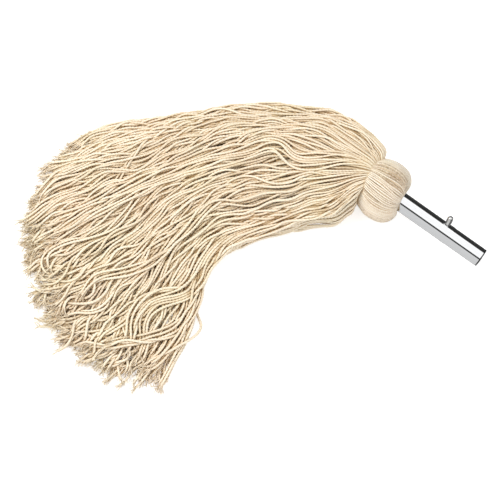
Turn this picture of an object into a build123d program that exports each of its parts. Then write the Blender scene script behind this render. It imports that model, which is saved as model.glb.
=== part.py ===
"""Snap-in cotton string mop head, lying on the floor with its adapter tube's free end drooped.

Frame: millimetres, +Z up, floor at z = 0, origin under the middle of the whole head.
+X is the way the adapter tube points in plan, and the yarn skirt trails towards -X and -Y.
The tube's own frame has z along the tube towards its free end, x towards world +Y, y up,
and its origin is the middle of the yarn ball.
"""

from build123d import *
import math
import os

# Where the ball sits, and how far the tube droops from it to the floor.
BALL_X = 106.6
BALL_Y = 164.1
BALL_Z = 34.0
TUBE_TILT = 10.0

# Adapter tube. Stations along it are measured from the middle of the ball.
TUBE_R = 11.1
TUBE_WALL = 1.5
BORE_R = TUBE_R - TUBE_WALL
NOSE_R = 10.85
NOSE_START = 89.0
TUBE_BACK = -22.0
TUBE_FRONT = 133.0
END_CHAMFER = 0.6

# Snap button and its V spring. The button leans towards the ball, square to the leaf that carries it.
BUTTON_AT = 79.0
BUTTON_ROLL = 39.0
BUTTON_LEAN = 7.0
BUTTON_R = 3.6
SHANK_R = 3.3
FLANGE_R = 4.6
FLANGE_LOW = 6.9
FLANGE_TOP = 8.0
HEAD_LOW = 12.1
DOME_CENTRE = 18.2
BUTTON_HOLE_R = 3.9
TAIL_R = 1.5
PEEN_R = 2.2
LEAF_WIDTH = 8.0
LEAF_THICK = 0.6
LEAF_LINE = 6.55
LEAF_BEND_R = 3.0

# Plug and cross pin that anchor the yarn on the tube's inner end.
PLUG_FRONT = 12.0
PLUG_R = BORE_R - 0.05
PIN_R = 2.0
PIN_HALF = 16.0
PIN_AT = -8.0
PIN_CLEAR = 0.05

# Yarn round the tube: inner lay, wire tie, folded-over ball, bound neck.
YARN_CLEAR = 0.3
CORE_R = 21.5
CORE_GROOVE_R = 19.0
CORE_BACK = -15.0
CORE_FRONT = 8.7
WIRE_R = 0.8
WIRE_PITCH = 1.75
WIRE_TURNS = 4
WIRE_START = -2.5
BALL_BACK = -15.0
BALL_HOLLOW_R = 21.8
NECK_R = 26.5
NECK_FRONT = -15.3
NECK_BACK = -24.0
TWINE_R = 1.0
TWINE_PITCH = 2.1
TWINE_TURNS = 3
TWINE_START = -22.9

# Skirt: locks of yarn between neighbouring guide curves, in three layers.
LOCKS_ACROSS = 12
LAYERS = ("low", "mid", "top")
LOCK_GAP = 0.5
ROOT_AT = -25.0
ROOT_HALF_WIDTH = 24.0
STATIONS = (0.0, 0.06, 0.14, 0.25, 0.40, 0.55, 0.70, 0.85, 1.0)

# Plan curves of the skirt from the ball's middle, far edge first. The first point of each is
# worked out on the neck, so only the rest are given.
GUIDES = (
    ((-40, 42), (-75, 48), (-120, 43), (-176, 18), (-226, -18), (-272, -60), (-316, -101), (-346, -154)),
    ((-43, 32), (-78, 28), (-122, 15), (-176, -13), (-224, -50), (-266, -94), (-306, -141), (-344, -190)),
    ((-43, 9), (-76, -6), (-119, -27), (-170, -64), (-213, -114), (-248, -168), (-286, -222), (-322, -276)),
    ((-38, -8), (-66, -29), (-101, -59), (-145, -105), (-181, -158), (-208, -216), (-232, -278), (-262, -330)),
    ((-33, -23), (-56, -47), (-87, -80), (-126, -128), (-151, -186), (-165, -249), (-178, -312), (-203, -366)),
    ((-29, -38), (-46, -62), (-72, -95), (-107, -141), (-129, -196), (-134, -257), (-136, -318), (-146, -376)),
    ((-22, -53), (-35, -75), (-61, -102), (-94, -141), (-103, -192), (-93, -246), (-84, -300), (-82, -353)),
)

# Heights of the skirt at each station, along its middle and along its two edges.
TOP_MIDDLE = (63.5, 67.0, 60.0, 48.0, 37.0, 30.0, 25.0, 21.0, 15.0)
TOP_EDGE = (48.0, 48.0, 40.0, 26.0, 18.0, 15.0, 12.0, 10.0, 7.0)
LOW_MIDDLE = (13.0, 5.0, 0.0, 0.0, 0.0, 0.0, 0.0, 0.0, 0.0)
LOW_EDGE = (28.0, 20.0, 6.0, 0.0, 0.0, 0.0, 0.0, 0.0, 0.0)
CROWN_POWER = 2.5

# How far along the skirt each lock reaches, in turn, so that the ends are ragged.
LOCK_REACH = (1.0, 0.97, 0.99, 0.95, 1.0)

tilt = math.radians(TUBE_TILT)
lean = math.radians(BUTTON_LEAN)
roll = math.radians(BUTTON_ROLL)

tube_frame = Plane(
    origin=(BALL_X, BALL_Y, BALL_Z),
    x_dir=(0, 1, 0),
    z_dir=(math.cos(tilt), 0, -math.sin(tilt)),
)
radial = Vector(math.sin(roll), math.cos(roll), 0)
along = Vector(0, 0, 1)
button_origin = along * (BUTTON_AT + TUBE_R * math.tan(lean))
button_frame = Plane(
    origin=button_origin,
    x_dir=along * math.cos(lean) + radial * math.sin(lean),
    z_dir=radial * math.cos(lean) - along * math.sin(lean),
)
leaf_frame = Plane(origin=button_origin, x_dir=along, z_dir=along.cross(radial))


def turned(points):
    """A solid of revolution about the tube's axis from (radius, station) corners."""
    profile = Plane.XZ * make_face(Polyline(*points, close=True))
    return revolve(profile, Axis.Z)


def rod(radius, low, high):
    """A cylinder on the local z axis between two stations."""
    return Pos(0, 0, (low + high) / 2) * Cylinder(radius, high - low)


def coil(radius, wire_radius, pitch, turns, start):
    """A round wire wound about the tube's axis."""
    path = Helix(pitch=pitch, height=pitch * turns, radius=radius)
    section = Plane(origin=path @ 0, z_dir=path % 0) * Circle(wire_radius)
    return Pos(0, 0, start) * sweep(section, path=path, is_frenet=True)


def cross_hole(radius):
    """The straight way through the tube for the cross pin, along local x."""
    return Pos(0, 0, PIN_AT) * Rot(0, 90, 0) * Cylinder(radius, 2 * PIN_HALF + 4)


def adapter_tube():
    """Polished tube, a little reduced at its nose, drilled for the button and the cross pin."""
    body = turned([
        (BORE_R, TUBE_BACK),
        (TUBE_R, TUBE_BACK),
        (TUBE_R, NOSE_START),
        (NOSE_R, NOSE_START),
        (NOSE_R, TUBE_FRONT - END_CHAMFER),
        (NOSE_R - END_CHAMFER, TUBE_FRONT),
        (BORE_R + END_CHAMFER / 2, TUBE_FRONT),
        (BORE_R, TUBE_FRONT - END_CHAMFER / 2),
    ])
    button_way = button_frame * rod(BUTTON_HOLE_R, 0, 2 * TUBE_R)
    return body - button_way - cross_hole(PIN_R + PIN_CLEAR)


def snap_button():
    """Domed head, slightly thinner shank in the hole, flange under the wall, peened tail."""
    body = rod(SHANK_R, FLANGE_TOP, HEAD_LOW) + rod(BUTTON_R, HEAD_LOW, DOME_CENTRE)
    dome = Pos(0, 0, DOME_CENTRE) * Sphere(BUTTON_R)
    dome = dome - rod(2 * BUTTON_R, DOME_CENTRE - 2 * BUTTON_R, DOME_CENTRE)
    body = body + dome + rod(FLANGE_R, FLANGE_LOW, FLANGE_TOP)
    tail_end = LEAF_LINE - LEAF_THICK / 2 - 0.05
    tail = rod(TAIL_R, tail_end, FLANGE_LOW) + rod(PEEN_R, tail_end - 0.7, tail_end)
    return button_frame * (body + tail)


def button_spring():
    """V leaf: one arm carries the button, the other bears on the far side of the bore."""
    slope = math.tan(lean)
    height = LEAF_LINE / math.cos(lean)
    path = leaf_frame * FilletPolyline(
        (6, height + 6 * slope),
        (-50, height - 50 * slope),
        (8, -8.3),
        radius=LEAF_BEND_R,
    )
    section = Plane(origin=path @ 0, x_dir=along.cross(radial), z_dir=path % 0)
    leaf = sweep(section * Rectangle(LEAF_WIDTH, LEAF_THICK), path=path)
    return leaf - button_frame * rod(TAIL_R + 0.2, 2, FLANGE_LOW)


def core_plug():
    """Hardwood dowel that closes the tube's inner end and backs the cross pin."""
    return rod(PLUG_R, TUBE_BACK, PLUG_FRONT) - cross_hole(PIN_R + PIN_CLEAR)


def cross_pin():
    """Steel pin through tube and plug, whose ends catch the yarn."""
    return Pos(0, 0, PIN_AT) * Rot(0, 90, 0) * Cylinder(PIN_R, 2 * PIN_HALF)


def yarn_core():
    """First lay of the yarn along the tube, grooved where the wire ties it down."""
    groove_back = WIRE_START - WIRE_R - YARN_CLEAR
    groove_front = WIRE_START + WIRE_PITCH * WIRE_TURNS + WIRE_R + YARN_CLEAR
    core = turned([
        (TUBE_R + YARN_CLEAR, CORE_BACK),
        (CORE_R, CORE_BACK),
        (CORE_R, groove_back),
        (CORE_GROOVE_R, groove_back),
        (CORE_GROOVE_R, groove_front),
        (CORE_R - 1, groove_front),
        (CORE_R - 3, CORE_FRONT),
        (TUBE_R + YARN_CLEAR, CORE_FRONT),
    ])
    return core - cross_hole(PIN_R + YARN_CLEAR)


def wire_tie():
    """Galvanised wire wound tight round the first lay."""
    return coil(CORE_GROOVE_R + 0.1 + WIRE_R, WIRE_R, WIRE_PITCH, WIRE_TURNS, WIRE_START)


def fold_over_ball():
    """The yarn folded back over its own tie, a hollow ball with a dimple where the tube comes out."""
    mouth = TUBE_R + YARN_CLEAR
    skin = Spline((29.5, BALL_BACK), (33.8, -9), (35.6, -1), (34.2, 8), (28.5, 15), (20.5, 19), (14.5, 19.5))
    inside = Polyline(
        (14.5, 19.5),
        (mouth, 17),
        (mouth, 13.5),
        (BALL_HOLLOW_R - 2, CORE_FRONT + 0.6),
        (BALL_HOLLOW_R, 6),
        (BALL_HOLLOW_R, BALL_BACK),
        (29.5, BALL_BACK),
    )
    ball = revolve(Plane.XZ * make_face(skin + inside), Axis.Z)
    return tube_frame * ball - Pos(BALL_X, BALL_Y, -50) * Box(200, 200, 100)


def neck_bundle():
    """Both lays of the yarn where the twine binds them, behind the ball."""
    cup = TUBE_BACK - YARN_CLEAR
    return turned([
        (0, cup),
        (TUBE_R + YARN_CLEAR, cup),
        (TUBE_R + YARN_CLEAR, NECK_FRONT),
        (NECK_R, NECK_FRONT),
        (NECK_R, NECK_BACK),
        (0, NECK_BACK),
    ])


def neck_twine():
    """Cotton twine whipped round the neck."""
    return coil(NECK_R + 0.1 + TWINE_R, TWINE_R, TWINE_PITCH, TWINE_TURNS, TWINE_START)


def twine_knot():
    """The whipping's knot, under the neck."""
    reach = NECK_R + 0.1 + 2 * TWINE_R + 2.3
    middle = TWINE_START + TWINE_PITCH * TWINE_TURNS / 2
    knot = Rot(0, 90, 0) * Torus(2.0, 1.0)
    return Rot(0, 0, -72) * Pos(reach + 0.9, 0, middle) * knot


def guide_point(index, station):
    """Plan point of a guide curve, from the ball's middle. Station 0 lies on the neck."""
    if station > 0:
        return GUIDES[index][station - 1]
    share = index / (len(GUIDES) - 1)
    return (ROOT_AT, ROOT_HALF_WIDTH * (1 - 2 * share))


def edge_point(edge, station):
    """Plan point of the edge between two locks: on a guide, or midway between two."""
    place = edge * (len(GUIDES) - 1) / LOCKS_ACROSS
    index = min(int(place), len(GUIDES) - 2)
    share = place - index
    a = guide_point(index, station)
    b = guide_point(index + 1, station)
    return (a[0] + (b[0] - a[0]) * share, a[1] + (b[1] - a[1]) * share)


def height(table_middle, table_edge, edge, station):
    """Height of the skirt's top or underside over an edge at a station."""
    side = abs(2 * edge / LOCKS_ACROSS - 1) ** CROWN_POWER
    return table_middle[station] + (table_edge[station] - table_middle[station]) * side


def corner(edge, station, layer_share, inwards, lift):
    """A corner of a lock's section, moved in from the edge and up by half a gap."""
    x, y = edge_point(edge, station)
    other = edge_point(edge + inwards, station)
    width = math.dist((x, y), other)
    x += (other[0] - x) * LOCK_GAP / 2 / width
    y += (other[1] - y) * LOCK_GAP / 2 / width
    low = height(LOW_MIDDLE, LOW_EDGE, edge, station)
    top = height(TOP_MIDDLE, TOP_EDGE, edge, station)
    z = low + (top - low) * layer_share + lift
    if station == 0:
        x = (ROOT_AT + (z - BALL_Z) * math.sin(tilt)) / math.cos(tilt)
    return Vector(BALL_X + x, BALL_Y + y, z)


def section_corners(lock, layer, station):
    """The four corners of a lock's section at a station."""
    share_low = layer / len(LAYERS)
    share_top = (layer + 1) / len(LAYERS)
    lift_low = LOCK_GAP / 2 if layer else 0
    lift_top = -LOCK_GAP / 2
    return [
        corner(lock, station, share_low, 1, lift_low),
        corner(lock + 1, station, share_low, -1, lift_low),
        corner(lock + 1, station, share_top, -1, lift_top),
        corner(lock, station, share_top, 1, lift_top),
    ]


def skirt_lock(lock, layer):
    """One lock of yarn, from the neck to its own end."""
    reach = LOCK_REACH[(lock + 2 * layer) % len(LOCK_REACH)]
    rings = [section_corners(lock, layer, station) for station in range(len(STATIONS))]
    last = (reach - STATIONS[-2]) / (STATIONS[-1] - STATIONS[-2])
    rings[-1] = [a + (b - a) * last for a, b in zip(rings[-2], rings[-1])]
    wires = [Wire.make_polygon(ring, close=True) for ring in rings]
    return Solid.make_loft(wires, ruled=True)


def main():
    os.makedirs("parts", exist_ok=True)
    in_tube_frame = {
        "adapter_tube": adapter_tube(),
        "snap_button": snap_button(),
        "button_spring": button_spring(),
        "core_plug": core_plug(),
        "cross_pin": cross_pin(),
        "yarn_core": yarn_core(),
        "wire_tie": wire_tie(),
        "neck_bundle": neck_bundle(),
        "neck_twine": neck_twine(),
        "twine_knot": twine_knot(),
    }
    nodes = {name: tube_frame * shape for name, shape in in_tube_frame.items()}
    nodes["fold_over_ball"] = fold_over_ball()
    for layer, layer_name in enumerate(LAYERS):
        for lock in range(LOCKS_ACROSS):
            nodes[f"yarn_lock_{layer_name}_{lock + 1:02d}"] = skirt_lock(lock, layer)
    for name, shape in nodes.items():
        export_step(shape, f"parts/{name}.step")


main()
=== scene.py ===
import math

import bpy
import numpy as np
from mathutils import Matrix, Vector


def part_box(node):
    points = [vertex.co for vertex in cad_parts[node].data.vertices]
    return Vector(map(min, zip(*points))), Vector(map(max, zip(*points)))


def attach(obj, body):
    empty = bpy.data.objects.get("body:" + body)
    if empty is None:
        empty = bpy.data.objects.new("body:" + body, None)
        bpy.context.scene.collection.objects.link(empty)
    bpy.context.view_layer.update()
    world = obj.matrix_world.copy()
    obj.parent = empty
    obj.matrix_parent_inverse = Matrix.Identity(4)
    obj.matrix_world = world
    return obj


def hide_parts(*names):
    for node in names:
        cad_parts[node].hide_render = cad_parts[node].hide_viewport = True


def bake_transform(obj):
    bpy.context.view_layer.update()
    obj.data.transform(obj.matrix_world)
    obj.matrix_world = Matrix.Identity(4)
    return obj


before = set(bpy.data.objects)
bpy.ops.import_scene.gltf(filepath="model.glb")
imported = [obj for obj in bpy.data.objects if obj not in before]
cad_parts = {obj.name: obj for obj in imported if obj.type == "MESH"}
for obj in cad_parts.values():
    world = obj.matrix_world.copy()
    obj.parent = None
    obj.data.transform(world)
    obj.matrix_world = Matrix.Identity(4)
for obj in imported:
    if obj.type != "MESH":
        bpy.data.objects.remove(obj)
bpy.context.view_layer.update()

MM = 0.001

# ---------------------------------------------------------------- places, in mm, as in the part
BALL = np.array((106.6, 164.1, 34.0))
TILT = math.radians(10.0)
AXIS = np.array((math.cos(TILT), 0.0, -math.sin(TILT)))
SIDE = np.array((0.0, 1.0, 0.0))
LIFT = np.array((math.sin(TILT), 0.0, math.cos(TILT)))
BORE_R = 9.8
TUBE_WALL_OUT = 10.8
TUBE_FRONT = 133.0
ROOT_AT = -25.0
ROOT_HALF_WIDTH = 24.0
STATIONS = (0.0, 0.06, 0.14, 0.25, 0.40, 0.55, 0.70, 0.85, 1.0)
GUIDES = (
    ((-40, 42), (-75, 48), (-120, 43), (-176, 18), (-226, -18), (-272, -60), (-316, -101), (-346, -154)),
    ((-43, 32), (-78, 28), (-122, 15), (-176, -13), (-224, -50), (-266, -94), (-306, -141), (-344, -190)),
    ((-43, 9), (-76, -6), (-119, -27), (-170, -64), (-213, -114), (-248, -168), (-286, -222), (-322, -276)),
    ((-38, -8), (-66, -29), (-101, -59), (-145, -105), (-181, -158), (-208, -216), (-232, -278), (-262, -330)),
    ((-33, -23), (-56, -47), (-87, -80), (-126, -128), (-151, -186), (-165, -249), (-178, -312), (-203, -366)),
    ((-29, -38), (-46, -62), (-72, -95), (-107, -141), (-129, -196), (-134, -257), (-136, -318), (-146, -376)),
    ((-22, -53), (-35, -75), (-61, -102), (-94, -141), (-103, -192), (-93, -246), (-84, -300), (-82, -353)),
)
TOP_MIDDLE = (63.5, 67.0, 60.0, 48.0, 37.0, 30.0, 25.0, 21.0, 15.0)
TOP_EDGE = (48.0, 48.0, 40.0, 26.0, 18.0, 15.0, 12.0, 10.0, 7.0)
LOW_MIDDLE = (13.0, 5.0, 0.0, 0.0, 0.0, 0.0, 0.0, 0.0, 0.0)
LOW_EDGE = (28.0, 20.0, 6.0, 0.0, 0.0, 0.0, 0.0, 0.0, 0.0)
CROWN_POWER = 2.5
LOCKS_ACROSS = 12
LAYERS = ("low", "mid", "top")

# ---------------------------------------------------------------- camera
AZIMUTH = math.radians(34.3)
ELEVATION = math.radians(66.7)
RIGHT = np.array((math.cos(AZIMUTH), math.sin(AZIMUTH), 0.0))
UP = np.array((-math.sin(AZIMUTH) * math.sin(ELEVATION), math.cos(AZIMUTH) * math.sin(ELEVATION),
               math.cos(ELEVATION)))
BACK = np.cross(RIGHT, UP)
VIEW_WIDTH = 0.572
LENS = 135.0
camera_data = bpy.data.cameras.new("camera")
camera_data.lens = LENS
camera_data.sensor_width = 36.0
camera_data.clip_end = 20.0
camera = bpy.data.objects.new("camera", camera_data)
bpy.context.scene.collection.objects.link(camera)
look_at = BALL * MM - 0.1556 * RIGHT - 0.0675 * UP
distance = VIEW_WIDTH * LENS / 36.0
camera.matrix_world = Matrix.LocRotScale(
    Vector(look_at + BACK * distance),
    Matrix((RIGHT, UP, BACK)).transposed().to_quaternion(),
    None,
)
bpy.context.scene.camera = camera

# ---------------------------------------------------------------- small helpers
rng = np.random.default_rng(7)


def through(stations, values, at):
    """Natural cubic curve through values at stations, read at the given places."""
    s = np.asarray(stations, float)
    v = np.asarray(values, float)
    flat = v.reshape(len(s), -1)
    gap = np.diff(s)
    n = len(s)
    rows = np.eye(n)
    bend = np.zeros_like(flat)
    for i in range(1, n - 1):
        rows[i, i - 1:i + 2] = gap[i - 1], 2 * (gap[i - 1] + gap[i]), gap[i]
        bend[i] = 6 * ((flat[i + 1] - flat[i]) / gap[i] - (flat[i] - flat[i - 1]) / gap[i - 1])
    m = np.linalg.solve(rows, bend)
    at = np.asarray(at, float)
    k = np.clip(np.searchsorted(s, at, side="right") - 1, 0, n - 2)
    t = (at - s[k])[:, None]
    h = gap[k][:, None]
    slope = (flat[k + 1] - flat[k]) / h - h * (2 * m[k] + m[k + 1]) / 6
    out = flat[k] + t * slope + t**2 * m[k] / 2 + t**3 * (m[k + 1] - m[k]) / (6 * h)
    return out.reshape((len(at),) + v.shape[1:])


def smooth(x, low, high):
    t = np.clip((x - low) / (high - low), 0, 1)
    return t * t * (3 - 2 * t)


def ripple(count, across, along, deep):
    """A smooth random field of (across, along, deep) in mm, made of a few plane waves."""
    k = rng.normal(size=(count, 3)) * (2 * math.pi) / np.array((across, along, deep)) * 0.7
    phase = rng.uniform(0, 2 * math.pi, count)
    return lambda x, y, z: sum(
        np.sin(x * k[i, 0] + y * k[i, 1] + z * k[i, 2] + phase[i]) for i in range(count)
    ) / math.sqrt(count / 2)


# ---------------------------------------------------------------- the skirt's lattice
T_GRID = np.linspace(0, 1.04, 209)
A_GRID = np.linspace(0, 1, 73)


def plan_table():
    """Plan points of the skirt on a grid of (across, along)."""
    guides = []
    for i, points in enumerate(GUIDES):
        share = i / (len(GUIDES) - 1)
        root = (ROOT_AT, ROOT_HALF_WIDTH * (1 - 2 * share))
        guides.append(through(STATIONS, (root,) + points, np.minimum(T_GRID, 1.0)))
    guides = np.array(guides)
    beyond = T_GRID > 1.0
    last = guides[:, ~beyond][:, -1]
    before = guides[:, ~beyond][:, -9]
    steps = (T_GRID[beyond] - 1.0) / (T_GRID[~beyond][-1] - T_GRID[~beyond][-9])
    guides[:, beyond] = last[:, None] + (last - before)[:, None] * steps[None, :, None]
    return through(np.linspace(0, 1, len(GUIDES)), guides, A_GRID)


PLAN = plan_table()


def read_grid(table, a, t):
    """Bilinear reading of a table on (A_GRID, T_GRID)."""
    x = a * (len(A_GRID) - 1)
    y = np.clip(t / T_GRID[-1], 0, 1) * (len(T_GRID) - 1)
    i = np.clip(x.astype(int), 0, len(A_GRID) - 2)
    j = np.minimum(y.astype(int), len(T_GRID) - 2)
    fx = (x - i)[..., None]
    fy = (y - j)[..., None]
    low = table[i, j] * (1 - fx) + table[i + 1, j] * fx
    high = table[i, j + 1] * (1 - fx) + table[i + 1, j + 1] * fx
    return low * (1 - fy) + high * fy


def heights(a, t):
    """Underside and top of the skirt at (across, along)."""
    side = np.abs(2 * a - 1) ** CROWN_POWER
    rows = np.stack([TOP_MIDDLE, TOP_EDGE, LOW_MIDDLE, LOW_EDGE], axis=1)
    fine = through(STATIONS, rows, np.minimum(T_GRID, 1.0))
    fine = np.maximum(fine, 0)
    cols = [np.interp(t, T_GRID, fine[:, k]) for k in range(4)]
    return cols[2] + (cols[3] - cols[2]) * side, cols[0] + (cols[1] - cols[0]) * side


def spread_across(count):
    """Across values that fill the skirt evenly, and those that fill the neck evenly."""
    t_mid = np.linspace(0.22, 0.9, 15)
    aa, tt = np.meshgrid(A_GRID, t_mid, indexing="ij")
    at = read_grid(PLAN, aa, tt)
    width = np.linalg.norm(np.gradient(at, axis=0), axis=2)
    low, top = heights(aa, tt)
    area = (width * (top - low) / (width * (top - low)).sum(0)).mean(1)
    total = np.cumsum(area)
    total = (total - total[0]) / (total[-1] - total[0])
    low0, top0 = heights(A_GRID, np.zeros_like(A_GRID))
    neck = np.cumsum(top0 - low0)
    neck = (neck - neck[0]) / (neck[-1] - neck[0])
    return np.interp(count, total, A_GRID), np.interp(count, neck, A_GRID)


YARN_R = 1.55
COLUMNS = 60
DEEP = 9
POINTS = 132

# Yarns that lie across the others on top, listed one by one: how many side by side, how far across
# the skirt they start, how far along they leave the others, and the middle one's route from there,
# in mm from the ball's middle with heights above the floor.
HAND_LAID = (
    (7, 0.90, 0.46, ((-119, -208, 29), (-118, -224, 29), (-126, -239, 30), (-137, -251, 30), (-145, -265, 29),
                     (-146, -279, 28), (-143, -291, 26), (-136, -301, 23), (-130, -315, 20), (-129, -331, 17))),
    (4, 0.94, 0.52, ((-107, -227, 26), (-103, -240, 27), (-102, -254, 27), (-102, -268, 27), (-107, -281, 28),
                     (-116, -293, 29), (-126, -305, 29), (-140, -315, 28), (-152, -325, 25), (-161, -336, 22))),
    (2, 0.95, 0.55, ((-104, -234, 23), (-100, -249, 23), (-96, -267, 24), (-95, -283, 24), (-96, -296, 22),
                     (-98, -307, 20), (-102, -318, 18), (-109, -326, 16), (-118, -330, 14))),
    (5, 0.94, 0.48, ((-119, -213, 13), (-114, -229, 12), (-110, -244, 11), (-106, -260, 10), (-102, -277, 9),
                     (-99, -295, 8), (-98, -314, 8))),
    (1, 0.93, 0.50, ((-109, -216, 16), (-107, -230, 11), (-99, -240, 6), (-89, -245, 4), (-85, -255, 5),
                     (-85, -270, 12), (-90, -284, 19), (-94, -296, 21), (-103, -308, 20), (-112, -323, 17))),
    (7, 0.45, 0.04, ((-53, -6, 69), (-69, -16, 67), (-84, -26, 64), (-98, -33, 61), (-111, -33, 59),
                     (-123, -29, 57), (-133, -29, 55), (-142, -34, 53), (-153, -48, 50), (-174, -69, 46),
                     (-198, -97, 42), (-227, -137, 37), (-253, -179, 32), (-274, -219, 27), (-291, -260, 19))),
    (3, 0.60, 0.42, ((-170, -220, 32), (-179, -238, 32), (-191, -252, 32), (-204, -263, 31), (-213, -275, 29),
                     (-215, -289, 26), (-216, -305, 23), (-220, -319, 19))),
    (2, 0.32, 0.62, ((-250, -240, 29), (-262, -251, 28), (-271, -263, 26), (-277, -276, 24), (-275, -288, 22),
                     (-266, -294, 21), (-256, -291, 20))),
    (1, 0.14, 0.72, ((-272, -203, 27), (-295, -229, 20), (-311, -243, 10), (-324, -248, 4), (-337, -249, 3))),
    (1, 0.20, 0.74, ((-274, -240, 24), (-295, -262, 14), (-311, -273, 5), (-324, -274, 3), (-332, -272, 3))),
)

share = (np.repeat(np.arange(COLUMNS), DEEP) + rng.uniform(0.15, 0.85, COLUMNS * DEEP)) / COLUMNS
depth = (np.tile(np.arange(DEEP), COLUMNS) + rng.uniform(0.1, 0.9, COLUMNS * DEEP)) / DEEP
across, across_neck = spread_across(share)
ragged = ripple(12, 22, 1000, 24)(across * 240, 0, depth * 30)
reach = np.interp(across, (0, 0.12, 0.20, 0.28, 0.35, 0.45, 0.58, 0.70, 0.80, 0.90, 1.0),
                  (0.985, 0.97, 0.975, 1.0, 0.975, 0.975, 0.965, 0.935, 0.925, 0.94, 0.95))
reach += 0.020 * ragged - rng.uniform(0.0, 0.040, len(share))
reach += np.where(rng.uniform(size=len(share)) < 0.05, 0.025, 0.0)
reach = np.minimum(reach, 1.015)


def lattice_paths(across, across_neck, depth, reach):
    """Where each yarn lies before it settles, without its waves."""
    t = np.linspace(0, 1, POINTS)[None, :] * reach[:, None]
    blend = smooth(t, 0.0, 0.16)
    a = across_neck[:, None] * (1 - blend) + across[:, None] * blend
    trim = (0.14 * smooth(t, 0.08, 0.20) * (1 - smooth(t, 0.43, 0.74)) - 0.012 * smooth(t, 0.8, 0.95)
            + 0.018 * np.exp(-((t - 0.34) / 0.08) ** 2))
    beyond = (0.035 - 0.014 * smooth(t, 0.5, 0.7) + 0.036 * np.exp(-((t - 0.20) / 0.11) ** 2)
              + 0.016 * np.exp(-((t - 0.42) / 0.12) ** 2))
    plan = read_grid(PLAN, (1 - trim) * a - beyond * (1 - a), t)
    low, top = heights(a, t)
    z = low + YARN_R + (top - low - 2 * YARN_R) * depth[:, None]
    path = np.concatenate([plan, z[..., None] - BALL[2]], axis=2)
    # On the neck the section is square to the tilted tube.
    near = 1 - smooth(t, 0.0, 0.08)
    path[..., 0] += near * (path[..., 2] * math.sin(TILT)) / math.cos(TILT)
    return path + BALL, t, a


def run_length(path):
    step = np.linalg.norm(np.diff(path, axis=1), axis=2)
    return np.concatenate([np.zeros((len(path), 1)), np.cumsum(step, axis=1)], axis=1)


def even(path):
    """The same lines with their points evenly spaced."""
    run = run_length(path)
    out = np.empty_like(path)
    for i in range(len(path)):
        at = np.linspace(0, run[i, -1], path.shape[1])
        for c in range(3):
            out[i, :, c] = np.interp(at, run[i], path[i, :, c])
    return out


def sideways_of(path):
    tangent = np.gradient(path, axis=1)
    side = np.stack([-tangent[..., 1], tangent[..., 0], np.zeros(path.shape[:2])], axis=2)
    return side / np.linalg.norm(side, axis=2, keepdims=True)


def laid_by_hand():
    """The listed yarns, side by side along their routes, and how far across each one is."""
    made, where = [], []
    for count, a, leave, route in HAND_LAID:
        one = np.array([a])
        first = lattice_paths(one, 0.45 + (one - 0.45) * 0.7, np.array([0.98]), np.array([leave]))[0][0, ::11]
        route = np.concatenate([first, np.array(route, float) + (BALL[0], BALL[1], 0)])
        run = np.concatenate([[0], np.cumsum(np.linalg.norm(np.diff(route, axis=0), axis=1))])
        for k in range(count):
            end = run[-1] * (1 - 0.06 * rng.uniform())
            line = through(run, route, np.linspace(0, end, POINTS))[None]
            far = run_length(line)
            place = (k - (count - 1) / 2) * (0.35 + 0.65 * smooth(far, 5, 70))
            place = place + 0.45 * np.sin(far / 19.0 + 1.7 * k) + 0.25 * np.sin(far / 8.5 + 2.9 * k)
            line = line + sideways_of(line) * (place * 2.25 * YARN_R)[..., None]
            line[..., 2] += smooth(far, 10, 60) * (1.3 * np.sin(far / 16.0 + 2.3 * k) - 0.6)
            made.append(line)
            where.append(a)
    return np.concatenate(made), np.array(where)


# The top yarns come together at the top of the binding and fan out over the rest.
gather = 0.5 * smooth(depth, 0.45, 0.95) * smooth(across, 0.08, 0.4) * (1 - 0.7 * smooth(across, 0.8, 1.0))
across_neck = across_neck + (0.44 - across_neck) * gather
design, _, a_of = lattice_paths(across, across_neck, depth, reach)
run = run_length(design)

# Waves: whole clumps swing together, layers slide over each other, each yarn wanders a little.
swing = ripple(14, 60, 170, 14)
wave = ripple(14, 30, 92, 8)
kink = ripple(12, 10, 44, 5)
bob = ripple(14, 40, 110, 30)
width_mm = a_of * 240
deep_mm = depth[:, None] * 30 + 0 * run
grow = smooth(run, 25, 120)
tail = smooth(run, 250, 390)
matted = tail * smooth(a_of, 0.42, 0.62)
own = rng.uniform(0, 2 * math.pi, (len(design), 3))
wander = sum(
    np.sin(run * 2 * math.pi / (54 + 24 * k) + own[:, k:k + 1]) for k in range(3)
)
crimp = np.sin(run * 2 * math.pi / 31 + own[:, :1] * 4) + np.sin(run * 2 * math.pi / 22 + own[:, 1:2] * 6)
tip = smooth(run - run[:, -1:], -26, 4) ** 1.5
shift = grow * (4.8 * swing(width_mm, run, deep_mm) + (2.5 + 2.6 * matted) * wave(width_mm, run, deep_mm)
                + (0.8 + 1.8 * matted) * kink(width_mm, run, deep_mm) + 1.5 * wander
                + (0.35 + 0.7 * matted) * crimp)
shift += tip * rng.normal(0, 3.4, (len(design), 1))
curling = smooth(run - run[:, -1:], -100, -50) * smooth(a_of, 0.30, 0.55) * (1 - 0.6 * smooth(a_of, 0.85, 1.0))
curl_size = 9.0 * rng.uniform(0, 1, (len(design), 1)) ** 1.6
curl_turn = run * 2 * math.pi / rng.uniform(34, 64, (len(design), 1)) + own[:, 1:2] * 9
shift += curling * curl_size * np.sin(curl_turn)
room_far = 0.5 + 15 * smooth(a_of, 0.0, 0.16)
room_near = 0.5 + 15 * smooth(1 - a_of, 0.0, 0.16)
shift = np.clip(shift, -room_far, room_near)
dive = sum(np.sin(run * 2 * math.pi / (64 + 29 * k) + own[:, 2 - k:3 - k] * 3) for k in range(3))
rise = grow * (1.3 * bob(width_mm, run, deep_mm) + 0.7 * kink(width_mm + 70, run, deep_mm) + 0.9 * dive)
rise += tip * rng.uniform(-4.0, 2.5, (len(design), 1)) + 0.3 * curling * curl_size * np.cos(curl_turn)
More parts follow.
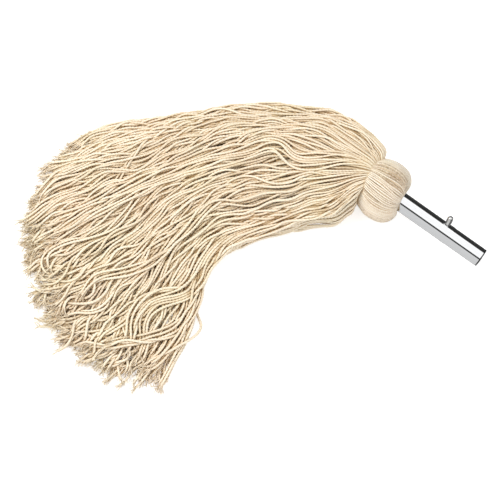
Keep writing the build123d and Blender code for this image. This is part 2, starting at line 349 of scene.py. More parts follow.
design = design + sideways_of(design) * shift[..., None]
design[..., 2] += rise

# Behind the binding the yarns puff out and close over it, most along this direction either way.
FULLER_SIDE = np.array((0.0, 0.946, 0.326))
root = BALL + ROOT_AT * AXIS
out = design[:, :1] - root
out -= (out @ AXIS)[..., None] * AXIS
bundle = np.linalg.norm(out, axis=2, keepdims=True)
to_side = (out @ FULLER_SIDE[:, None]) / np.maximum(bundle, 1.0)
puff = np.exp(-((run - 10.0) / 8.0) ** 2)[..., None] * (bundle / 24.0) ** 2 * (0.30 + 0.70 * to_side**2)
design = design + puff * ((7.6 - 3.2 * to_side) * out / np.maximum(bundle, 1.0)
                          + (4.8 - 1.4 * to_side) * AXIS)
start = np.stack([design[:, 0] + 4.5 * AXIS, design[:, 0] + 1.5 * AXIS], axis=1)
design = np.concatenate([start, design[:, 1:-1]], axis=1)
design[..., 2] = np.maximum(design[..., 2], YARN_R)


def let_down(lines, below, cell=4.0):
    """The listed lines, brought down onto the yarns under them along the line of sight."""
    corner = below.reshape(-1, 3).min(0)[:2] - 3 * cell
    at = ((below.reshape(-1, 3)[:, :2] - corner) / cell).astype(int)
    tops = np.zeros(at.max(0) + 6)
    np.maximum.at(tops, (at[:, 0], at[:, 1]), below.reshape(-1, 3)[:, 2])
    tops = np.max([np.roll(tops, (i, j), (0, 1)) for i in (-1, 0, 1) for j in (-1, 0, 1)], axis=0)
    out = lines.copy()
    for _ in range(2):
        spot = np.clip(((out[..., :2] - corner) / cell).astype(int), 0, np.array(tops.shape) - 1)
        top = tops[spot[..., 0], spot[..., 1]]
        fall = np.where(top > 0, np.maximum(lines[..., 2] - top - 1.0, 0), 0)
        fall = np.array([np.convolve(np.pad(one, 6, "edge"), np.ones(13) / 13, "valid") for one in fall])
        out = lines - fall[..., None] * BACK / BACK[2]
    return out


by_hand, across_by_hand = laid_by_hand()
by_hand = let_down(by_hand, design)
laid = len(by_hand)
design = even(np.concatenate([design, by_hand]))
across = np.concatenate([across, across_by_hand])
depth = np.concatenate([depth, np.full(laid, 0.99)])
own = np.concatenate([own, rng.uniform(0, 2 * math.pi, (laid, 3))])
loose = np.ones((len(design), 1, 3)) * (0.012, 0.012, 0.014)
loose[-laid:] = (0.03, 0.03, 0.010)

THIN_AT_ROOT = 0.66


def thickness(run):
    """The binding squeezes the yarns; they fill out behind it."""
    return YARN_R * (THIN_AT_ROOT + (1 - THIN_AT_ROOT) * smooth(run, 4, 95))


yarn_r = thickness(run_length(design))


# ---------------------------------------------------------------- settling
def near_pairs(points, strand, step, reach):
    """Pairs of points of different yarns, or far apart on one, that are nearer than reach."""
    cell = np.floor((points - points.min(0)) / reach).astype(np.int64) + 1
    dims = cell.max(0) + 2
    key = (cell[:, 0] * dims[1] + cell[:, 1]) * dims[2] + cell[:, 2]
    order = np.argsort(key, kind="stable")
    ordered = key[order]
    everyone = np.arange(len(points))
    found = []
    for dx in (-1, 0, 1):
        for dy in (-1, 0, 1):
            for dz in (-1, 0, 1):
                offset = (dx * dims[1] + dy) * dims[2] + dz
                if offset < 0:
                    continue
                low = np.searchsorted(ordered, key + offset, "left")
                high = np.searchsorted(ordered, key + offset, "right")
                count = high - low
                first = np.repeat(everyone, count)
                start = np.repeat(low - (np.cumsum(count) - count), count)
                second = order[start + np.arange(len(first))]
                keep = (strand[first] != strand[second]) | (np.abs(step[first] - step[second]) > 4)
                if offset == 0:
                    keep &= first < second
                first, second = first[keep], second[keep]
                gap = points[first] - points[second]
                keep = (gap * gap).sum(1) < reach * reach
                found.append((first[keep], second[keep]))
    return np.concatenate([f for f, s in found]), np.concatenate([s for f, s in found])


def settle(design, radius, rounds, pull, fixed=4, drop=0.008):
    """Yarns move apart where they would run through each other, and sink onto what is below."""
    shape = design.shape
    x = design.copy()
    strand = np.repeat(np.arange(shape[0]), shape[1])
    step = np.tile(np.arange(shape[1]), shape[0])
    rest = np.linalg.norm(np.diff(design, axis=1), axis=2)
    r = radius.reshape(-1)
    for turn in range(rounds):
        flat = x.reshape(-1, 3)
        if turn % 10 == 0:
            first, second = near_pairs(flat, strand, step, 2 * YARN_R + 1.3)
            both = r[first] + r[second]
        gap = flat[first] - flat[second]
        far = np.sqrt((gap * gap).sum(1)) + 1e-6
        push = np.maximum(both - far, 0) / far * 0.5
        hit = push > 0
        move = gap[hit] * push[hit, None]
        one, two = first[hit], second[hit]
        change = np.empty_like(flat)
        touch = np.bincount(one, minlength=len(flat)) + np.bincount(two, minlength=len(flat))
        for c in range(3):
            change[:, c] = (np.bincount(one, move[:, c], len(flat)) - np.bincount(two, move[:, c], len(flat)))
        flat += change * (0.85 / np.sqrt(np.maximum(touch, 1)))[:, None]
        x = flat.reshape(shape)
        x += (design - x) * pull
        x[..., 2] -= drop
        mid = x[:, 1:-1]
        bend = (x[:, :-2] + x[:, 2:]) / 2 - mid
        x[:, 1:-1] += 0.22 * bend
        x[:, 2:-2] -= 0.16 * ((bend[:, :-2] + bend[:, 2:]) / 2)
        for start in (0, 1):
            a = x[:, start:-1:2]
            b = x[:, start + 1::2]
            line = b - a
            now = np.linalg.norm(line, axis=2, keepdims=True)
            fix = line * (0.5 * (1 - rest[:, start::2, None][:, :line.shape[1]] / now))
            x[:, start:-1:2] += fix
            x[:, start + 1::2] -= fix
        x[..., 2] = np.maximum(x[..., 2], radius)
        x[:, :fixed] = design[:, :fixed]
    return x


paths = settle(design, yarn_r, 150, loose)


def hidden_share(paths):
    """How deep among the other yarns each point lies: 0 on the outside, 1 inside."""
    flat = paths.reshape(-1, 3)
    strand = np.repeat(np.arange(paths.shape[0]), paths.shape[1])
    first, second = near_pairs(flat, strand, np.zeros(len(flat), int), 5.6)
    count = np.bincount(first, minlength=len(flat)) + np.bincount(second, minlength=len(flat))
    count = count.reshape(paths.shape[:2])
    spread = run_length(paths) > 80
    crowd = count / np.percentile(count[spread], 80)
    return smooth(crowd, 0.58, 0.96) * smooth(run_length(paths), 10, 60)


hidden = hidden_share(paths)


def line_basis(points, samples):
    """Cubic B-spline weights, so that samples = basis @ points; the line starts and ends on its ends."""
    at = np.linspace(0, points - 1, samples)
    k = np.minimum(at.astype(int), points - 2)
    t = at - k
    weights = np.stack([(1 - t)**3, 3 * t**3 - 6 * t**2 + 4,
                        -3 * t**3 + 3 * t**2 + 3 * t + 1, t**3], axis=1) / 6
    basis = np.zeros((samples, points + 2))
    for c in range(4):
        basis[np.arange(samples), k + c] += weights[:, c]
    basis[:, 1] += 2 * basis[:, 0]
    basis[:, 2] -= basis[:, 0]
    basis[:, -2] += 2 * basis[:, -1]
    basis[:, -3] -= basis[:, -1]
    return basis[:, 1:-1]


# ---------------------------------------------------------------- meshes
def frames(line):
    """Tangent and two normals that don't spin along each line."""
    tangent = np.gradient(line, axis=1)
    tangent /= np.linalg.norm(tangent, axis=2, keepdims=True)
    normal = np.empty_like(line)
    start = np.cross(tangent[:, 0], np.array((0.13, 0.21, 0.97)))
    normal[:, 0] = start / np.linalg.norm(start, axis=1, keepdims=True)
    for i in range(1, line.shape[1]):
        n = normal[:, i - 1] - (normal[:, i - 1] * tangent[:, i]).sum(1, keepdims=True) * tangent[:, i]
        normal[:, i] = n / np.linalg.norm(n, axis=1, keepdims=True)
    return tangent, normal, np.cross(tangent, normal)


def build(name, batches, material, body="mop_head"):
    """One mesh piece from batches of (points, faces, uv, tone)."""
    points, quads, uvs, tones = [], [], [], []
    base = 0
    for p, q, uv, tone in batches:
        points.append(p)
        quads.append(q + base)
        uvs.append(uv)
        tones.append(tone)
        base += len(p)
    points, quads = np.concatenate(points), np.concatenate(quads)
    uvs, tones = np.concatenate(uvs), np.concatenate(tones)
    mesh = bpy.data.meshes.new(name)
    mesh.vertices.add(len(points))
    mesh.vertices.foreach_set("co", (points * MM).astype(np.float32).ravel())
    mesh.loops.add(quads.size)
    mesh.loops.foreach_set("vertex_index", quads.astype(np.int32).ravel())
    mesh.polygons.add(len(quads))
    mesh.polygons.foreach_set("loop_start", np.arange(0, quads.size, 4, dtype=np.int32))
    mesh.polygons.foreach_set("use_smooth", np.ones(len(quads), bool))
    layer = mesh.uv_layers.new(name="yarn")
    layer.data.foreach_set("uv", uvs.astype(np.float32).ravel())
    tone_layer = mesh.attributes.new("tone", "FLOAT", "POINT")
    tone_layer.data.foreach_set("value", tones.astype(np.float32))
    mesh.update()
    mesh.validate()
    mesh.materials.append(material)
    piece = bpy.data.objects.new(name, mesh)
    bpy.context.scene.collection.objects.link(piece)
    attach(piece, body)
    return piece


def tubes(lines, radius, sides=6, crest=0.12, pitch=12.0, phase=None, tone=None, run=None):
    """Twisted yarns: star-shaped sections that turn along each line. With an even number of sides both ends are
    closed to a point.
    """
    count, rings = lines.shape[:2]
    if phase is None:
        phase = rng.uniform(0, 2 * math.pi, count)
    if tone is None:
        tone = rng.uniform(0, 1, count)
    if run is None:
        run = run_length(lines)
    tangent, normal, binormal = frames(lines)
    j = np.arange(sides)
    turn = phase[:, None, None] + run[..., None] * (2 * math.pi / pitch) + j * (2 * math.pi / sides)
    star = np.where(j % 2 == 0, 1 + crest, 1 - crest) if sides % 2 == 0 else np.ones(sides)
    rad = radius[..., None] * star
    points = (lines[:, :, None] + (rad * np.cos(turn))[..., None] * normal[:, :, None]
              + (rad * np.sin(turn))[..., None] * binormal[:, :, None])
    tips = np.stack([lines[:, 0] - tangent[:, 0] * radius[:, :1] * 0.4,
                     lines[:, -1] + tangent[:, -1] * radius[:, -1:] * 0.4], axis=1)
    body = points.reshape(count, -1, 3)
    each = rings * sides
    points = np.concatenate([body, tips], axis=1)
    r = np.arange(rings - 1)[:, None] * sides
    a = (r + j).ravel()
    b = (r + (j + 1) % sides).ravel()
    side_quads = np.stack([a, b, b + sides, a + sides], axis=1)
    half = np.arange(0, sides, 2)
    last = (rings - 1) * sides
    if sides % 2 == 0:
        start_cap = np.stack([np.full(len(half), each), (half + 2) % sides, half + 1, half], axis=1)
        end_cap = np.stack([np.full(len(half), each + 1), last + half, last + half + 1,
                            last + (half + 2) % sides], axis=1)
        quads = np.concatenate([side_quads, start_cap, end_cap])
    else:
        quads = side_quads
        points = body
    size = points.shape[1]
    around = np.concatenate([np.stack([j, j + 1, j + 1, j], axis=1)] * (rings - 1)) / sides
    length = run[:, :-1, None, None] + np.zeros((count, rings - 1, sides, 4))
    length[..., 2:] += (run[:, 1:] - run[:, :-1])[:, :, None, None]
    uv = np.stack([np.broadcast_to(around, (count,) + around.shape),
                   length.reshape(count, -1, 4) / pitch], axis=3)
    if sides % 2 == 0:
        cap = np.zeros((count, 2 * len(half), 4, 2))
        cap[:, len(half):, :, 1] = run[:, -1, None, None] / pitch
        uv = np.concatenate([uv, cap], axis=1)
    quads = (quads[None] + (np.arange(count) * size)[:, None, None]).reshape(-1, 4)
    tone = np.broadcast_to(tone[:, None], (count, rings)) if tone.ndim == 1 else tone
    tones = np.concatenate([np.repeat(tone, sides, axis=1), tone[:, :1], tone[:, -1:]], axis=1)
    tones = tones[:, :size].ravel()
    return points.reshape(-1, 3), quads, uv.reshape(-1, 2), tones


# ---------------------------------------------------------------- materials
def new_material(name):
    material = bpy.data.materials.new(name)
    material.use_nodes = True
    tree = material.node_tree
    tree.nodes.clear()
    out = tree.nodes.new("ShaderNodeOutputMaterial")
    shader = tree.nodes.new("ShaderNodeBsdfPrincipled")
    tree.links.new(shader.outputs[0], out.inputs[0])
    return material, tree, shader


def node(tree, kind, **values):
    n = tree.nodes.new(kind)
    for key, value in values.items():
        if key in n.inputs:
            n.inputs[key].default_value = value
        else:
            setattr(n, key, value)
    return n


def ramp(tree, source, stops):
    n = tree.nodes.new("ShaderNodeValToRGB")
    n.color_ramp.elements[0].position = stops[0][0]
    n.color_ramp.elements[0].color = (*stops[0][1], 1)
    n.color_ramp.elements[1].position = stops[-1][0]
    n.color_ramp.elements[1].color = (*stops[-1][1], 1)
    for place, colour in stops[1:-1]:
        e = n.color_ramp.elements.new(place)
        e.color = (*colour, 1)
    tree.links.new(source, n.inputs[0])
    return n.outputs[0]


def math_node(tree, operation, a, b):
    n = tree.nodes.new("ShaderNodeMath")
    n.operation = operation
    for socket, value in zip(n.inputs, (a, b)):
        if isinstance(value, (int, float)):
            socket.default_value = value
        else:
            tree.links.new(value, socket)
    return n.outputs[0]


CREVICE = 6.0


def yarn_material(name, pale, deep, dark, bump, flecks=0.35):
    """Twisted cotton: paler and deeper yarns, blotches along each, fibre lines that follow the twist,
    and painted shade, darker and warmer, in the crevices between the yarns where ambient occlusion finds them
    closed in."""
    material, tree, shader = new_material(name)
    tone = node(tree, "ShaderNodeAttribute", attribute_name="tone")
    place = node(tree, "ShaderNodeTexCoord")
    uv = node(tree, "ShaderNodeUVMap", uv_map="yarn")
    blotch = node(tree, "ShaderNodeTexNoise", Scale=38.0, Detail=3.0, Roughness=0.6)
    tree.links.new(place.outputs["Object"], blotch.inputs["Vector"])
    fleck = node(tree, "ShaderNodeTexNoise", Scale=420.0, Detail=2.0, Roughness=0.6)
    tree.links.new(place.outputs["Object"], fleck.inputs["Vector"])
    stretch = node(tree, "ShaderNodeMapping")
    stretch.inputs["Scale"].default_value = (9.0, 5.0, 1.0)
    tree.links.new(uv.outputs[0], stretch.inputs[0])
    fibre = node(tree, "ShaderNodeTexNoise", Scale=3.0, Detail=3.0, Roughness=0.7)
    tree.links.new(stretch.outputs[0], fibre.inputs["Vector"])
    mixed = math_node(tree, "ADD", math_node(tree, "MULTIPLY", tone.outputs["Fac"], 0.45),
                      math_node(tree, "MULTIPLY", blotch.outputs[0], 0.55))
    mixed = math_node(tree, "ADD", mixed, math_node(tree, "MULTIPLY", math_node(
        tree, "SUBTRACT", fleck.outputs[0], 0.5), flecks))
    mixed = math_node(tree, "ADD", mixed, math_node(tree, "MULTIPLY", math_node(
        tree, "SUBTRACT", fibre.outputs[0], 0.5), 0.5))
    # The ramp's dark end is reached by darker yarns and blotches, and in the skirt also by the painted shade
    # that the tone carries for yarns lying deep among others.
    colour = ramp(tree, mixed, [(0.12, dark), (0.38, deep), (0.72, pale)])
    # Painted shade: an ambient occlusion node darkens and warms the colour down between the yarns.
    open_ = node(tree, "ShaderNodeAmbientOcclusion", samples=4, Distance=CREVICE * MM)
    crevice_painted_shade = ramp(tree, open_.outputs["AO"], [(0.05, (0.78, 0.55, 0.27)), (0.32, (0.90, 0.77, 0.54)),
                                            (0.62, (1.0, 1.0, 1.0))])
    patch = node(tree, "ShaderNodeTexNoise", Scale=24.0, Detail=1.0, Roughness=0.5)
    tree.links.new(place.outputs["Object"], patch.inputs["Vector"])
    hue = ramp(tree, patch.outputs[0], [(0.36, (0.99, 1.0, 0.965)), (0.5, (1.0, 1.0, 1.0)),
                                        (0.64, (1.01, 0.988, 0.982))])
    for tint in (crevice_painted_shade, hue):
        mixed = node(tree, "ShaderNodeMix", data_type="RGBA", blend_type="MULTIPLY")
        mixed.inputs["Factor"].default_value = 1.0
        tree.links.new(colour, mixed.inputs["A"])
        tree.links.new(tint, mixed.inputs["B"])
        colour = mixed.outputs["Result"]
    tree.links.new(colour, shader.inputs["Base Color"])
    shader.inputs["Roughness"].default_value = 0.88
    shader.inputs["Specular IOR Level"].default_value = 0.25
    shader.inputs["Sheen Weight"].default_value = 0.22
    shader.inputs["Sheen Roughness"].default_value = 0.55
    bumped = node(tree, "ShaderNodeBump", Strength=bump, Distance=0.0004)
    tree.links.new(fibre.outputs[0], bumped.inputs["Height"])
    tree.links.new(bumped.outputs[0], shader.inputs["Normal"])
    return material


YARN = yarn_material("cotton_yarn", (0.80, 0.715, 0.575), (0.715, 0.605, 0.45), (0.48, 0.35, 0.20), 0.5)
BALL_YARN = yarn_material("cotton_ball_yarn", (0.92, 0.85, 0.735), (0.78, 0.68, 0.54), (0.47, 0.35, 0.23),
                          1.0, flecks=0.9)
TWINE = yarn_material("cotton_twine", (0.84, 0.74, 0.58), (0.72, 0.60, 0.43), (0.50, 0.38, 0.24), 0.6)


def metal_material(name, colour, rough, streak, bump, painted_dark_end=False):
    """Drawn or polished metal with fine lines along the tube; with the dark end set, the bore gets painted
    shade and the last of the outer wall a painted dark reflection, both near black, while the rim's face stays
    bright."""
    material, tree, shader = new_material(name)
    place = node(tree, "ShaderNodeTexCoord")
    turned = node(tree, "ShaderNodeMapping")
    turned.inputs["Rotation"].default_value = (0.0, -TILT, 0.0)
    turned.inputs["Scale"].default_value = (6.0, 900.0, 900.0)
    tree.links.new(place.outputs["Object"], turned.inputs[0])
    lines = node(tree, "ShaderNodeTexNoise", Scale=1.0, Detail=3.0, Roughness=0.6)
    tree.links.new(turned.outputs[0], lines.inputs["Vector"])
    smudge = node(tree, "ShaderNodeTexNoise", Scale=55.0, Detail=4.0, Roughness=0.65)
    tree.links.new(place.outputs["Object"], smudge.inputs["Vector"])
    tint = ramp(tree, lines.outputs[0], [(0.3, tuple(c * (1 - streak) for c in colour)), (0.7, colour)])
    # Painted shade in the bore and a painted dark reflection on the outer wall's last 1.7 mm, near black.
    if painted_dark_end:
        offset = node(tree, "ShaderNodeVectorMath", operation="SUBTRACT")
        tree.links.new(place.outputs["Object"], offset.inputs[0])
        offset.inputs[1].default_value = tuple(BALL * MM)
        along = node(tree, "ShaderNodeVectorMath", operation="DOT_PRODUCT")
        tree.links.new(offset.outputs["Vector"], along.inputs[0])
        along.inputs[1].default_value = tuple(AXIS)
        away = node(tree, "ShaderNodeVectorMath", operation="CROSS_PRODUCT")
        tree.links.new(offset.outputs["Vector"], away.inputs[0])
        away.inputs[1].default_value = tuple(AXIS)
        radial = node(tree, "ShaderNodeVectorMath", operation="LENGTH")
        tree.links.new(away.outputs["Vector"], radial.inputs[0])
        bore = math_node(tree, "LESS_THAN", radial.outputs["Value"], BORE_R * MM)
        rim = math_node(tree, "GREATER_THAN", along.outputs["Value"], (TUBE_FRONT - 1.7) * MM)
        wall = math_node(tree, "GREATER_THAN", radial.outputs["Value"], TUBE_WALL_OUT * MM)
        dark_reflection_band = math_node(tree, "MULTIPLY", rim, wall)
        mixed = node(tree, "ShaderNodeMix", data_type="RGBA")
        tree.links.new(math_node(tree, "MAXIMUM", bore, dark_reflection_band), mixed.inputs["Factor"])
        tree.links.new(tint, mixed.inputs["A"])
        mixed.inputs["B"].default_value = (0.045, 0.043, 0.04, 1)
        tint = mixed.outputs["Result"]
    tree.links.new(tint, shader.inputs["Base Color"])
    shader.inputs["Metallic"].default_value = 1.0
    rough_out = math_node(tree, "ADD", rough, math_node(tree, "MULTIPLY", smudge.outputs[0], rough * 0.9))
    tree.links.new(rough_out, shader.inputs["Roughness"])
    bumped = node(tree, "ShaderNodeBump", Strength=bump, Distance=0.00002)
    tree.links.new(lines.outputs[0], bumped.inputs["Height"])
    tree.links.new(bumped.outputs[0], shader.inputs["Normal"])
    return material


CHROME = metal_material("chromed_tube", (0.90, 0.91, 0.92), 0.035, 0.05, 0.25, painted_dark_end=True)
BUTTON_METAL = metal_material("button_bright", (0.82, 0.82, 0.81), 0.08, 0.10, 0.2)
SPRING = metal_material("spring_steel", (0.42, 0.42, 0.43), 0.30, 0.25, 0.5)
PIN = metal_material("pin_steel", (0.58, 0.58, 0.57), 0.22, 0.2, 0.5)
WIRE = metal_material("galvanised_wire", (0.60, 0.62, 0.64), 0.34, 0.3, 0.6)


def wood_material():
    material, tree, shader = new_material("turned_wood")
    place = node(tree, "ShaderNodeTexCoord")
    grain = node(tree, "ShaderNodeMapping")
    grain.inputs["Scale"].default_value = (8.0, 90.0, 90.0)
    tree.links.new(place.outputs["Object"], grain.inputs[0])
    rings = node(tree, "ShaderNodeTexNoise", Scale=4.0, Detail=5.0, Roughness=0.6, Distortion=0.6)
    tree.links.new(grain.outputs[0], rings.inputs["Vector"])
    tree.links.new(ramp(tree, rings.outputs[0], [(0.3, (0.36, 0.22, 0.11)), (0.7, (0.66, 0.46, 0.27))]),
                   shader.inputs["Base Color"])
    shader.inputs["Roughness"].default_value = 0.7
    bumped = node(tree, "ShaderNodeBump", Strength=0.4, Distance=0.0003)
    tree.links.new(rings.outputs[0], bumped.inputs["Height"])
    tree.links.new(bumped.outputs[0], shader.inputs["Normal"])
    return material


WOOD = wood_material()
for name, material in (("adapter_tube", CHROME), ("snap_button", BUTTON_METAL), ("button_spring", SPRING),
                       ("cross_pin", PIN), ("wire_tie", WIRE), ("core_plug", WOOD)):
    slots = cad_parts[name].material_slots
    for slot in slots:
        slot.material = material

# The V spring: a copy of its mesh, baked into place, stands in for it, and the part itself is hidden.
leaf_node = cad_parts["button_spring"]
leaf = bpy.data.objects.new("spring_leaf", leaf_node.data.copy())
bpy.context.scene.collection.objects.link(leaf)
leaf.matrix_world = leaf_node.matrix_world.copy()
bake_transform(leaf)
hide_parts("button_spring")

# ---------------------------------------------------------------- the skirt's pieces
RING_STEP = 1.45
length = run_length(paths)[:, -1]
rings = int(length.mean() / RING_STEP)
lines = np.einsum("rp,spc->src", line_basis(POINTS, rings), paths)
line_run = run_length(lines)
slub = 1 + 0.05 * np.sin(line_run / 9.0 + own[:, :1] * 5) + 0.04 * np.sin(line_run / 23.0 + own[:, 1:2] * 7)
line_r = thickness(line_run) * slub
to_end = line_run[:, -1:] - line_run
line_r *= 0.8 + 0.2 * smooth(to_end, 0, 9)
lines[..., 2] = np.maximum(lines[..., 2], 1.15 * line_r)
phase = rng.uniform(0, 2 * math.pi, len(lines))
# Yarns that lie deep among the others get a lower tone, towards the dark colour: painted shade. Towards their
# ends this painted shade weakens and the yarns are made a little paler.
inside = np.clip(np.einsum("rp,sp->sr", line_basis(POINTS, rings), hidden), 0, 1)
at_ends = smooth(line_run, 250, 380)
tone = (np.clip(rng.normal(0.66, 0.2, len(lines)), 0.1, 1.1)[:, None]
        - (0.9 - 0.45 * at_ends) * inside + 0.1 * at_ends)

lock_of = np.minimum((across * LOCKS_ACROSS).astype(int), LOCKS_ACROSS - 1)
layer_of = np.minimum((depth * len(LAYERS)).astype(int), len(LAYERS) - 1)
gone = np.linalg.norm(lines[:, -1] - root, axis=1)
declared = []
for layer, layer_name in enumerate(LAYERS):
    for lock in range(LOCKS_ACROSS):
        members = np.flatnonzero((lock_of == lock) & (layer_of == layer))
        longest = members[np.argmax(gone[members])]
        rest = members[members != longest]
        tag = f"{layer_name}_{lock + 1:02d}"
        one = np.array([longest])
        single = build(f"yarn_{tag}", [tubes(lines[one], line_r[one], phase=phase[one], tone=tone[one])],
                       YARN)
        declared.append(single)
        batch = [tubes(lines[rest], line_r[rest], phase=phase[rest], tone=tone[rest])]
        lock_piece = build(f"lock_yarns_{tag}", batch, YARN)
        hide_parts(f"yarn_lock_{tag}")

# ---------------------------------------------------------------- frayed ends
PLIES = 4
HAIRS = 6


def frayed(which):
    """The plies of each yarn come apart at its end, with fine fibres between them."""
    end = lines[which, -1]
    tangent, normal, binormal = frames(lines[which, -6:])
    t, n, b = tangent[:, -1], normal[:, -1], binormal[:, -1]
    batches = []
    for count, steps, long_, spread, thick, sides in ((PLIES, 9, (3, 8), 3.4, 0.8, 5),
                                                      (HAIRS, 8, (4, 11), 5.0, 0.2, 3)):
        many = len(which) * count
        u = np.linspace(0, 1, steps)[None, :]
        angle = (np.tile(np.arange(count), len(which)) * 2 * math.pi / count + rng.uniform(-0.5, 0.5, many))
        reach = rng.uniform(*long_, many)[:, None]
        out = rng.normal(0, spread, many)[:, None]
        T, Nn, B, E = (np.repeat(v, count, axis=0)[:, None] for v in (t, n, b, end))
        radial = np.cos(angle)[:, None, None] * Nn + np.sin(angle)[:, None, None] * B
        across_ = np.cross(T, np.array((0, 0, 1.0)))
        curl = rng.normal(0, 1, (many, 2))
        path = (E + T * (-6.0 + (reach + 6.0) * u)[..., None]
                + radial * (0.75 + 1.6 * u**1.5)[..., None]
                + across_ * (out * u**1.7 + curl[:, :1] * np.sin(u * 5 + curl[:, 1:] * 6) * u)[..., None])
        path[..., 2] += (rng.uniform(-2.5, 1.5, many)[:, None] * u**2)
        path[..., 2] = np.maximum(path[..., 2], 1.15 * thick)
        radius = thick * (1 - 0.4 * u) * rng.uniform(0.75, 1.1, many)[:, None]
        batches.append(tubes(path, radius, sides=sides, crest=0, pitch=9.0, tone=rng.uniform(0.4, 1.1, many)))
    return batches


for lock in range(LOCKS_ACROSS):
    members = np.flatnonzero(lock_of == lock)
    build(f"frayed_ends_{lock + 1:02d}", frayed(members), YARN)


# ---------------------------------------------------------------- the ball, its neck and the inner lay
def tube_place(radius, angle, station):
    """Points about the tube's axis, from its radius, angle from +Y towards up, and station."""
    radius, angle, station = np.broadcast_arrays(radius, angle, station)
    return (BALL + radius[..., None] * (np.cos(angle)[..., None] * SIDE + np.sin(angle)[..., None] * LIFT)
            + station[..., None] * AXIS)


SKIN = ((12.4, 12.5), (12.6, 15.6), (13.6, 18.0), (16.8, 18.9), (21.5, 18.0), (28.3, 14.3), (33.4, 7.8),
        (35.0, -1.0), (34.8, -8.0), (33.8, -13.0), (32.4, -17.0), (30.4, -20.2), (27.9, -22.6), (26.0, -24.6),
        (25.0, -27.0))
NEAR_SIDE = math.radians(199)
TOP_SIDE = math.radians(86)
FAR_TOP = math.radians(48)


def skin_line(angle, steps, inset):
    """One line over the ball at an angle, from the mouth to the neck, with the ball's lobes."""
    shape = np.array(SKIN)
    chord = np.concatenate([[0], np.cumsum(np.linalg.norm(np.diff(shape, axis=0), axis=1))])
    shape = through(chord / chord[-1], shape, np.linspace(0, 1, steps))
    r = np.repeat(shape[None, :, 0], len(angle), axis=0)
    w = np.repeat(shape[None, :, 1], len(angle), axis=0)
    turn = angle[:, None] + np.zeros_like(r)
    near = np.exp(-((np.mod(turn - NEAR_SIDE + math.pi, 2 * math.pi) - math.pi) / 1.1) ** 2)
    top = np.exp(-((np.mod(turn - TOP_SIDE + math.pi, 2 * math.pi) - math.pi) / 0.85) ** 2)
    w = w + 5.5 * near * smooth(w, -6, 17) - 3.5 * top * smooth(-w, 2, 18)
    r = r - 1.6 * near * smooth(-w, 2, 16)
    far_top = np.exp(-((np.mod(turn - FAR_TOP + math.pi, 2 * math.pi) - math.pi) / 0.9) ** 2)
    full = smooth(r, 22, 33)
    r = r * (1 - full * (0.025 + 0.045 * far_top))
    r = r * (1 + full * (0.020 * np.sin(2 * turn + 0.6) + 0.014 * np.sin(5 * turn + 1.9)))
    slope_r = np.gradient(r, axis=1)
    slope_w = np.gradient(w, axis=1)
    size = np.hypot(slope_r, slope_w)
    r = r + inset * slope_w / size
    w = w - inset * slope_r / size
    return r, turn, w


def ball_layer(count, inset, radius, wobble, steps=110):
    angle = np.arange(count) * 2 * math.pi / count + rng.uniform(-0.08, 0.08, count) * 2 * math.pi / count
    depth_each = inset + rng.uniform(-0.12, 0.16, count)[:, None]
    r, turn, w = skin_line(angle, steps, depth_each)
    s = np.linspace(0, 1, steps)[None, :]
    round_ = angle[:, None]
    turn = turn + wobble * np.sin(math.pi * s) * (
        0.10 * np.sin(3 * round_ + 1.0) + 0.035 * np.sin(7 * round_ + 4 * s)
        + 0.016 * np.sin(13 * round_ + 9 * s)
        + 0.010 * np.sin(29 * round_ - 6 * s))
    lines_ = tube_place(r, turn, w)
    lines_[..., 2] = np.maximum(lines_[..., 2], radius * 1.26)
    pinch = smooth(s, 0.0, 0.22) * (1 - 0.30 * smooth(s, 0.62, 0.8))
    rad = radius * (0.62 + 0.38 * pinch) * np.ones((count, 1))
    return even(lines_), rad


outer, outer_r = ball_layer(96, 0.0, 1.2, 1.0)
inner, inner_r = ball_layer(64, 1.9, 1.8, 1.0)
ball_tone = np.clip(rng.normal(0.6, 0.5, len(outer)), -0.1, 1.2)
ball = build("ball_yarns", [tubes(outer, outer_r, crest=0.22, tone=ball_tone, pitch=6.5)],
             BALL_YARN)
under = build("ball_under_yarns", [tubes(inner, inner_r, pitch=14.0)], BALL_YARN)
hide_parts("fold_over_ball")
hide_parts("neck_bundle")


def inner_lay():
    """The yarn along the tube under the ball, drawn in where the wire ties it."""
    count = 56
    s = np.linspace(0, 1, 40)[None, :]
    w = -15 + 23.5 * s
    tied = np.exp(-((w - 1.0) / 3.4) ** 4)
    r = 20.1 - 2.2 * tied - 2.2 * smooth(w, 5.4, 8.7)
    angle = np.arange(count)[:, None] * 2 * math.pi / count + rng.normal(0, 0.01, (count, 1)) + 0 * w
    return tube_place(r + rng.uniform(-0.2, 0.1, (count, 1)), angle, w + 0 * angle)


core_lines = inner_lay()
core = build("inner_lay_yarns", [tubes(core_lines, np.full(core_lines.shape[:2], 1.15), pitch=14.0)],
             BALL_YARN)
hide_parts("yarn_core")

# ---------------------------------------------------------------- whipping and its knot
TWINE_R = 1.0
turns = np.linspace(0, 1, 260)
angle = turns * 3 * 2 * math.pi
helix = tube_place(27.6, angle, -22.9 + 2.1 * 3 * turns)[None]
whipping = build("whipping_twine", [tubes(helix, np.full(helix.shape[:2], TWINE_R), sides=6, crest=0.14,
                                          pitch=4.5)], TWINE)
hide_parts("neck_twine")
knot_low, knot_high = (np.array(corner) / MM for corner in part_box("twine_knot"))
knot_middle = (knot_low + knot_high) / 2
loop = np.linspace(0, 2 * math.pi, 90)
out_dir = knot_middle - (BALL - 19.75 * AXIS)
out_dir /= np.linalg.norm(out_dir)
hoop = np.cross(AXIS, out_dir)
knot_line = (knot_middle + np.outer(0.8 * (np.sin(loop) + 2 * np.sin(2 * loop)), hoop)
             + np.outer(0.8 * (np.cos(loop) - 2 * np.cos(2 * loop)), AXIS)
             - np.outer(0.8 * np.sin(3 * loop), out_dir))[None]
knot = build("whipping_knot", [tubes(knot_line, np.full(knot_line.shape[:2], 0.85), crest=0.1, pitch=5.0)],
             TWINE)
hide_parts("twine_knot")


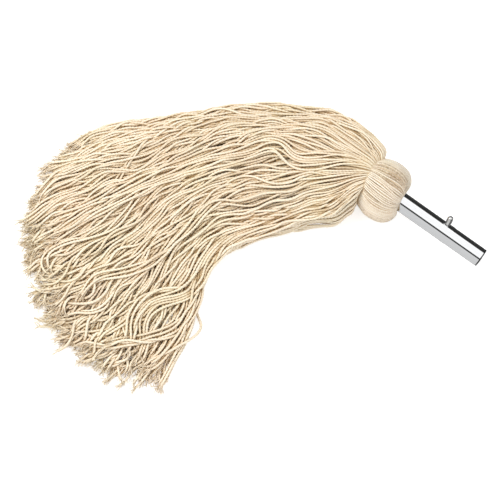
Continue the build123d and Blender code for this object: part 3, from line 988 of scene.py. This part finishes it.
# ---------------------------------------------------------------- floor, world and lights
def stage_floor():
    size = 30.0
    mesh = bpy.data.meshes.new("floor")
    mesh.from_pydata([(-size, -size, 0), (size, -size, 0), (size, size, 0), (-size, size, 0)],
                     [], [(0, 1, 2, 3)])
    floor = bpy.data.objects.new("floor", mesh)
    bpy.context.scene.collection.objects.link(floor)
    material, tree, shader = new_material("pale_paper")
    shader.inputs["Base Color"].default_value = (0.6, 0.6, 0.598, 1)
    shader.inputs["Emission Color"].default_value = (1, 1, 1, 1)
    shader.inputs["Emission Strength"].default_value = 0.6
    shader.inputs["Roughness"].default_value = 0.95
    mesh.materials.append(material)
    floor.visible_glossy = False
    return floor


stage_floor()


def area_light(name, place, target, size, power, colour=(1, 1, 1)):
    data = bpy.data.lights.new(name, "AREA")
    data.shape = "RECTANGLE"
    data.size, data.size_y = size
    data.energy = power
    data.color = colour
    light = bpy.data.objects.new(name, data)
    light.location = place
    light.rotation_euler = (Vector(target) - Vector(place)).to_track_quat("-Z", "Y").to_euler()
    bpy.context.scene.collection.objects.link(light)
    return light


area_light("key", (-0.65, -0.4, 1.5), (0, 0, 0), (0.6, 0.6), 14, (1.0, 0.985, 0.96))


def studio_world():
    """White room; in reflections it has an overhead light tent with dark gaps at its edges."""
    world = bpy.data.worlds.new("studio")
    bpy.context.scene.world = world
    world.use_nodes = True
    tree = world.node_tree
    background = tree.nodes["Background"]
    place = tree.nodes.new("ShaderNodeTexCoord")

    def along(direction):
        n = tree.nodes.new("ShaderNodeVectorMath")
        n.operation = "DOT_PRODUCT"
        tree.links.new(place.outputs["Generated"], n.inputs[0])
        n.inputs[1].default_value = tuple(direction)
        return n.outputs["Value"]

    angle = math_node(tree, "ARCTAN2", along(LIFT), along(-SIDE))
    part = math_node(tree, "ADD", math_node(tree, "DIVIDE", angle, 2 * math.pi), 0.5)
    stops = [(-180, 0.05), (-92, 0.05), (-88, 0.66), (35, 0.70), (37, 0.03), (53.5, 0.03), (55.5, 1.1),
             (138, 1.1), (141, 0.03), (180, 0.03)]
    tent = ramp(tree, part, [((deg + 180) / 360, (v, v, v * 1.005)) for deg, v in stops])
    ends = tree.nodes.new("ShaderNodeMapRange")
    tree.links.new(math_node(tree, "ABSOLUTE", along(AXIS), 0.0), ends.inputs[0])
    for name, value in (("From Min", 0.45), ("From Max", 0.75), ("To Min", 1.0), ("To Max", 0.12)):
        ends.inputs[name].default_value = value
    tent_strength = math_node(tree, "MULTIPLY", tent, ends.outputs[0])
    # A pale wall behind the tent, seen only in glancing reflections along the tube.
    wall = ramp(tree, part, [((deg + 180) / 360, (v, v, v)) for deg, v in (
        (-180, 0.5), (-125, 0.55), (-110, 0.1), (148, 0.0), (165, 0.45), (180, 0.5))])
    glancing = tree.nodes.new("ShaderNodeMapRange")
    tree.links.new(math_node(tree, "ABSOLUTE", along(AXIS), 0.0), glancing.inputs[0])
    for name, value in (("From Min", 0.35), ("From Max", 0.6), ("To Min", 0.0), ("To Max", 1.0)):
        glancing.inputs[name].default_value = value
    tent_strength = math_node(tree, "ADD", tent_strength,
                              math_node(tree, "MULTIPLY", wall, glancing.outputs[0]))
    path = tree.nodes.new("ShaderNodeLightPath")
    mix = tree.nodes.new("ShaderNodeMix")
    tree.links.new(path.outputs["Is Glossy Ray"], mix.inputs["Factor"])
    mix.inputs["A"].default_value = 1.25
    tree.links.new(tent_strength, mix.inputs["B"])
    tree.links.new(mix.outputs["Result"], background.inputs["Strength"])
    background.inputs["Color"].default_value = (1, 1, 1, 1)


studio_world()
bpy.context.scene.view_settings.view_transform = "Standard"

# ---------------------------------------------------------------- last update
bpy.context.view_layer.update()
